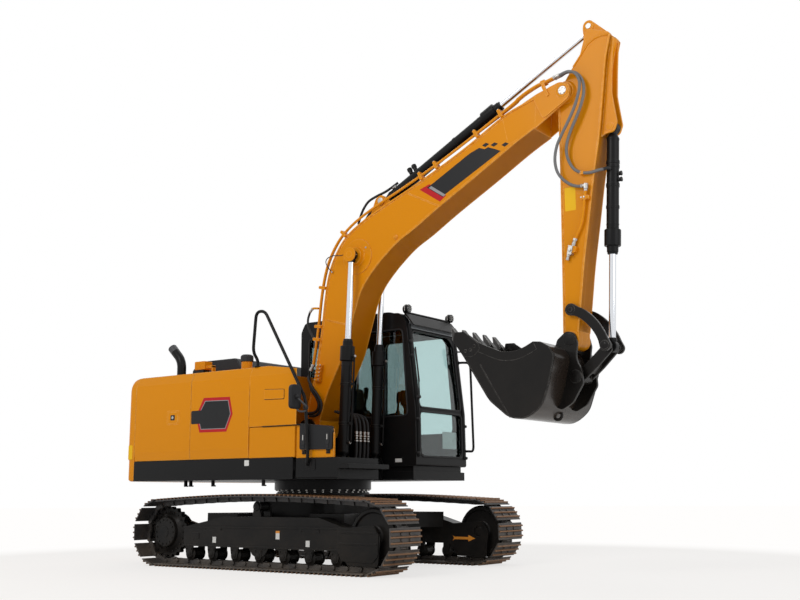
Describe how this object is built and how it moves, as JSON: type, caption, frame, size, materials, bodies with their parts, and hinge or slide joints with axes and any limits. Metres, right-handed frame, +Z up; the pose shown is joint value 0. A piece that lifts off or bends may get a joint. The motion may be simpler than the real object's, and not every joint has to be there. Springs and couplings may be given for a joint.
{
  "type": "crawler excavator",
  "caption": "Crawler excavator with a slewing upper body, a glazed cab at the left, and a hydraulic boom, arm and bucket that all move.",
  "frame": {"origin": "on the ground under the middle of the whole machine's box", "axes": "+Z up, +X forward along the tracks and the boom, +Y to the operator's left"},
  "size_m": [6.0692, 2.89, 5.4411],
  "materials": {
    "paint_yellow": "semi-gloss paint with light wear",
    "paint_black": "satin black paint, dusty",
    "paint_charcoal": "matt charcoal paint",
    "track_steel": "worn steel with earth in the corners",
    "digging_black": "black paint, scuffed at the edges",
    "chrome_rod": "polished",
    "cab_glass": "clear, slightly green",
    "seat_cloth": "woven cloth",
    "cab_plastic": "moulded, fine grain",
    "engine_grey": "dull",
    "rubber_black": "matt",
    "bare_steel": "plated",
    "lamp_glass": "clear lens",
    "mirror_face": "silvered",
    "blank_label": "plain film with no print"
  },
  "bodies": {
    "undercarriage": {"track_frame": "paint_black", "track_left": "track_steel", "track_right": "track_steel", "sprocket_left": "paint_black", "sprocket_right": "paint_black", "idler_left": "paint_black", "idler_right": "paint_black"},
    "upperstructure": {"revolving_frame": "paint_black", "counterweight": "paint_yellow", "engine_housing": "paint_yellow", "engine": "engine_grey", "fuel_tank": "paint_yellow", "lower_side_box": "paint_yellow", "toolbox": "paint_yellow", "front_step": "paint_black", "exhaust": "paint_black", "handrail_right": "paint_black", "cab_shell": "paint_black", "windshield_upper": "cab_glass", "windshield_lower": "cab_glass", "rear_window": "cab_glass", "roof_window": "cab_glass", "right_window_rear": "cab_glass", "right_window_front": "cab_glass", "left_rear_window": "cab_glass", "seat_cushion": "seat_cloth", "seat_back": "seat_cloth", "seat_base": "cab_plastic", "travel_levers": "cab_plastic", "cab_handrail": "paint_black", "mirror_right": "cab_plastic", "mirror_left": "cab_plastic"},
    "right_rear_door": {"right_rear_door": "paint_yellow"},
    "right_middle_door": {"right_middle_door": "paint_yellow"},
    "left_rear_door": {"left_rear_door": "paint_yellow"},
    "left_front_door": {"left_front_door": "paint_yellow"},
    "engine_hood": {"engine_hood": "paint_charcoal"},
    "toolbox_lid": {"toolbox_lid": "paint_charcoal"},
    "cab_door": {"cab_door": "paint_black", "cab_door_glass": "cab_glass"},
    "boom": {"boom": "paint_yellow"},
    "boom_cylinders": {"boom_cylinder_left": "paint_black", "boom_cylinder_right": "paint_black"},
    "boom_rods": {"boom_rod_left": "chrome_rod", "boom_rod_right": "chrome_rod"},
    "arm_cylinder": {"arm_cylinder": "paint_black"},
    "arm_rod": {"arm_rod": "chrome_rod"},
    "arm": {"arm": "paint_yellow"},
    "bucket_cylinder": {"bucket_cylinder": "paint_black"},
    "bucket_rod": {"bucket_rod": "chrome_rod"},
    "side_links": {"side_link_left": "digging_black", "side_link_right": "digging_black"},
    "h_link": {"h_link": "digging_black"},
    "bucket": {"bucket": "digging_black"}
  },
  "joints": [
    {"name": "swing", "type": "hinge", "parent": "undercarriage", "child": "upperstructure", "pos_m": [-0.84457, 0, 0.832], "axis": [0, 0, 1], "continuous": true},
    {"name": "boom", "type": "hinge", "parent": "upperstructure", "child": "boom", "pos_m": [-0.73957, -0.18, 1.485], "axis": [0, -1, 0], "range_deg": [-78, 18]},
    {"name": "arm", "type": "hinge", "parent": "boom", "child": "arm", "pos_m": [2.52163, -0.18, 4.72916], "axis": [0, 1, 0], "range_deg": [-105, 8]},
    {"name": "bucket", "type": "hinge", "parent": "arm", "child": "bucket", "pos_m": [2.4937, -0.18, 2.22932], "axis": [0, 1, 0], "range_deg": [-140, 12]},
    {"name": "boom_cylinder_pivot", "type": "hinge", "parent": "upperstructure", "child": "boom_cylinders", "pos_m": [-0.18357, -0.18, 1.12], "axis": [0, -1, 0], "range_deg": [-77.51, 17.93]},
    {"name": "boom_rod_slide", "type": "slide", "parent": "boom_cylinders", "child": "boom_rods", "axis": [0.0481, 0, 0.9988], "range_m": [-0.8432, 0.195]},
    {"name": "arm_cylinder_pivot", "type": "hinge", "parent": "boom", "child": "arm_cylinder", "pos_m": [0.18043, -0.18, 4.01], "axis": [0, 1, 0], "range_deg": [-5.26, 0.45]},
    {"name": "arm_rod_slide", "type": "slide", "parent": "arm_cylinder", "child": "arm_rod", "axis": [0.8849, 0, 0.4658], "range_m": [-1.1252, 0.0862]},
    {"name": "bucket_cylinder_pivot", "type": "hinge", "parent": "arm", "child": "bucket_cylinder", "pos_m": [2.95963, -0.18, 4.29616], "axis": [0, 1, 0], "range_deg": [-2.5, 0.26]},
    {"name": "bucket_rod_slide", "type": "slide", "parent": "bucket_cylinder", "child": "bucket_rod", "axis": [-0.046, 0, -0.9989], "range_m": [-0.8017, 0.0692]},
    {"name": "side_link_pivot", "type": "hinge", "parent": "arm", "child": "side_links", "pos_m": [2.5197, -0.18, 2.51732], "axis": [0, 1, 0], "range_deg": [-102.95, 8.87]},
    {"name": "h_link_pivot", "type": "hinge", "parent": "bucket", "child": "h_link", "pos_m": [2.5517, -0.18, 1.87032], "axis": [0, 1, 0], "range_deg": [-8.67, 100.65]},
    {"name": "right_rear_door", "type": "hinge", "parent": "upperstructure", "child": "right_rear_door", "pos_m": [-2.65157, -1.235, 1.64], "axis": [0, 0, -1], "range_deg": [0, 100]},
    {"name": "right_middle_door", "type": "hinge", "parent": "upperstructure", "child": "right_middle_door", "pos_m": [-0.84457, -1.235, 1.64], "axis": [0, 0, 1], "range_deg": [0, 100]},
    {"name": "left_rear_door", "type": "hinge", "parent": "upperstructure", "child": "left_rear_door", "pos_m": [-2.65157, 1.235, 1.64], "axis": [0, 0, 1], "range_deg": [0, 100]},
    {"name": "left_front_door", "type": "hinge", "parent": "upperstructure", "child": "left_front_door", "pos_m": [-1.40257, 1.235, 1.64], "axis": [0, 0, 1], "range_deg": [-100, 0]},
    {"name": "engine_hood", "type": "hinge", "parent": "upperstructure", "child": "engine_hood", "pos_m": [-2.46157, 0.22, 2.125], "axis": [0, -1, 0], "range_deg": [0, 60]},
    {"name": "toolbox_lid", "type": "hinge", "parent": "upperstructure", "child": "toolbox_lid", "pos_m": [-0.12957, -0.895, 1.478], "axis": [0, -1, 0], "range_deg": [0, 75]},
    {"name": "cab_door", "type": "hinge", "parent": "upperstructure", "child": "cab_door", "pos_m": [-0.92557, 1.246, 1.9], "axis": [0, 0, 1], "range_deg": [0, 170]}
  ],
  "couplings": [
    {"joint": "boom_cylinder_pivot", "follows": "boom", "ratio": 0.9931},
    {"joint": "boom_rod_slide", "follows": "boom", "m_per_rad": 0.619},
    {"joint": "arm_cylinder_pivot", "follows": "arm", "ratio": 0.0496},
    {"joint": "arm_rod_slide", "follows": "arm", "m_per_rad": 0.6137},
    {"joint": "bucket_cylinder_pivot", "follows": "bucket", "ratio": 0.0175},
    {"joint": "bucket_rod_slide", "follows": "bucket", "m_per_rad": 0.3279},
    {"joint": "side_link_pivot", "follows": "bucket", "ratio": 0.735},
    {"joint": "h_link_pivot", "follows": "bucket", "ratio": -0.7186}
  ]
}
